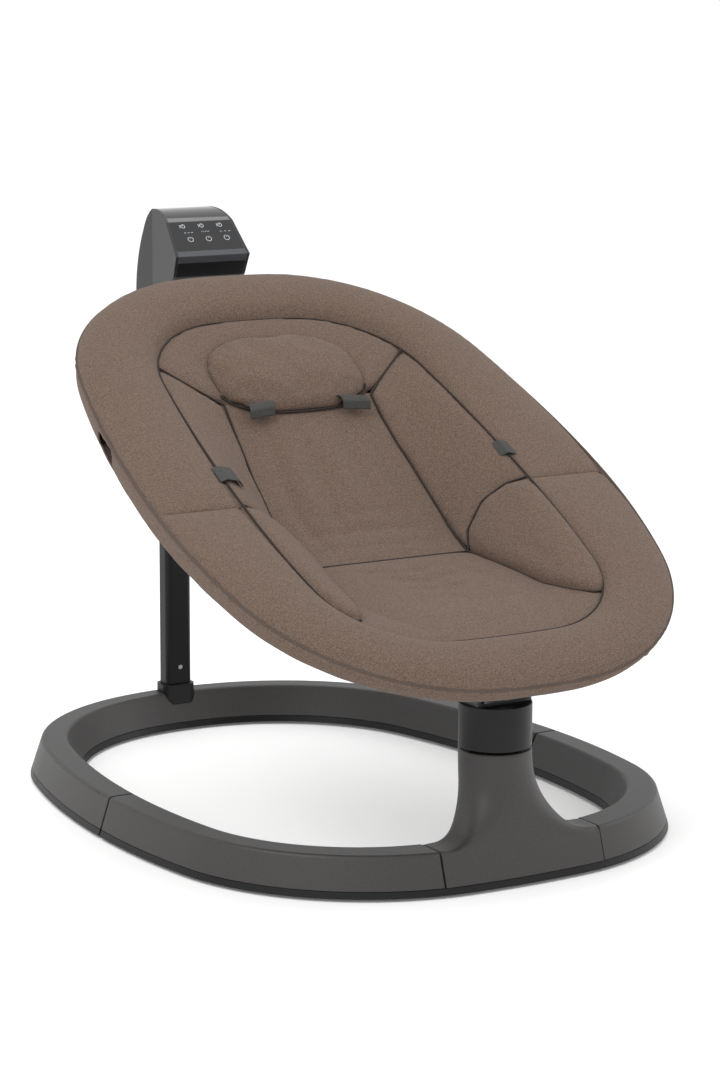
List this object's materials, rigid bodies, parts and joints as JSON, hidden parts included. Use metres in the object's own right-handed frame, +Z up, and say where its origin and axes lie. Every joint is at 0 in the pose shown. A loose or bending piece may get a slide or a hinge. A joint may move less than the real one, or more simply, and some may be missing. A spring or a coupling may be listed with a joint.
{
  "type": "baby swing",
  "caption": "Free-standing baby swing: oval floor ring, front pedestal with a turning, reclining padded seat, and a rear post with a touch-panel head.",
  "frame": {"origin": "centre of the footprint's bounding box, on the floor under the rubber feet", "axes": "+Z up, +Y from the pedestal at the front to the post at the rear, +X to the right of someone facing along +Y"},
  "size_m": [0.541, 0.7386, 0.5653],
  "materials": {
    "ring_plastic": "fine moulded texture",
    "black_plastic": "satin moulded",
    "post_paint": "satin powder coat",
    "side_plastic": "satin moulded",
    "gloss_black": "gloss",
    "light_plastic": "translucent diffuser, unlit",
    "foot_rubber": "matte",
    "steel": "turned and zinc plated",
    "bracket_paint": "satin powder coat",
    "frame_paint": "satin powder coat",
    "acetal": "plain acetal",
    "board_green": "solder resist",
    "copper": "enamelled copper wire",
    "magnet_nickel": "nickel plated",
    "cover_fabric": "melange knit over foam",
    "wing_fabric": "melange knit over foam",
    "sling_fabric": "plain woven lining",
    "webbing": "flat woven webbing",
    "sleeve_plastic": "satin moulded"
  },
  "bodies": {
    "base": {"centring_spring": "steel", "control_board": "board_green", "drive_coil": "copper", "front_base_tray": "black_plastic", "front_ring_left": "ring_plastic", "front_ring_right": "ring_plastic", "head_housing": "black_plastic", "head_side_left": "side_plastic", "head_side_right": "side_plastic", "joint_sleeve_left": "sleeve_plastic", "joint_sleeve_right": "sleeve_plastic", "light_bar": "light_plastic", "lower_bush": "acetal", "pedestal_shell": "ring_plastic", "pivot_column": "steel", "pivot_screw": "steel", "post_socket": "black_plastic", "post_tube": "post_paint", "power_inlet": "black_plastic", "rear_base_tray": "black_plastic", "rear_ring_shell": "ring_plastic", "rubber_feet": "foot_rubber", "speaker": "black_plastic", "thrust_washer": "acetal", "touch_fascia": "gloss_black", "tray_screws": "steel", "upper_bush": "acetal"},
    "turret": {"turret_drum": "black_plastic", "recline_bracket": "bracket_paint", "recline_pin": "steel", "recline_sector": "steel"},
    "seat": {"seat_carrier": "black_plastic", "seat_frame_lower": "frame_paint", "seat_frame_upper": "frame_paint", "frame_spigots": "steel", "toy_bar_sleeve_left": "sleeve_plastic", "toy_bar_sleeve_right": "sleeve_plastic", "magnet_bracket": "black_plastic", "drive_magnet": "magnet_nickel", "rim_pad_lower": "cover_fabric", "rim_pad_upper": "cover_fabric", "cover_skirt": "cover_fabric", "back_pad": "cover_fabric", "seat_cushion": "cover_fabric", "headrest_pillow": "cover_fabric", "upper_back_pad": "cover_fabric", "side_wing_left": "wing_fabric", "side_wing_right": "wing_fabric", "hip_panel_left": "wing_fabric", "hip_panel_right": "wing_fabric", "seat_sling": "sling_fabric", "head_loops": "webbing", "flank_loops": "webbing"},
    "lever": {"recline_lever": "black_plastic"},
    "snap": {"snap_button": "steel"}
  },
  "joints": [
    {"name": "seat_swing", "type": "hinge", "parent": "base", "child": "turret", "pos_m": [0, -0.283, 0.16], "axis": [0, 0, 1], "range_deg": [-12, 12], "stiffness_Nm_per_rad": 4},
    {"name": "seat_recline", "type": "hinge", "parent": "turret", "child": "seat", "pos_m": [0, -0.283, 0.18], "axis": [1, 0, 0], "range_deg": [0, 12]},
    {"name": "recline_release", "type": "hinge", "parent": "seat", "child": "lever", "pos_m": [0, -0.245, 0.1655], "axis": [-1, 0, 0], "range_deg": [0, 15], "stiffness_Nm_per_rad": 0.4, "springref_deg": -14.32},
    {"name": "snap_press", "type": "slide", "parent": "base", "child": "snap", "axis": [0, 1, 0], "range_m": [0, 0.0025], "stiffness_N_per_m": 600, "springref_m": -0.0005}
  ]
}
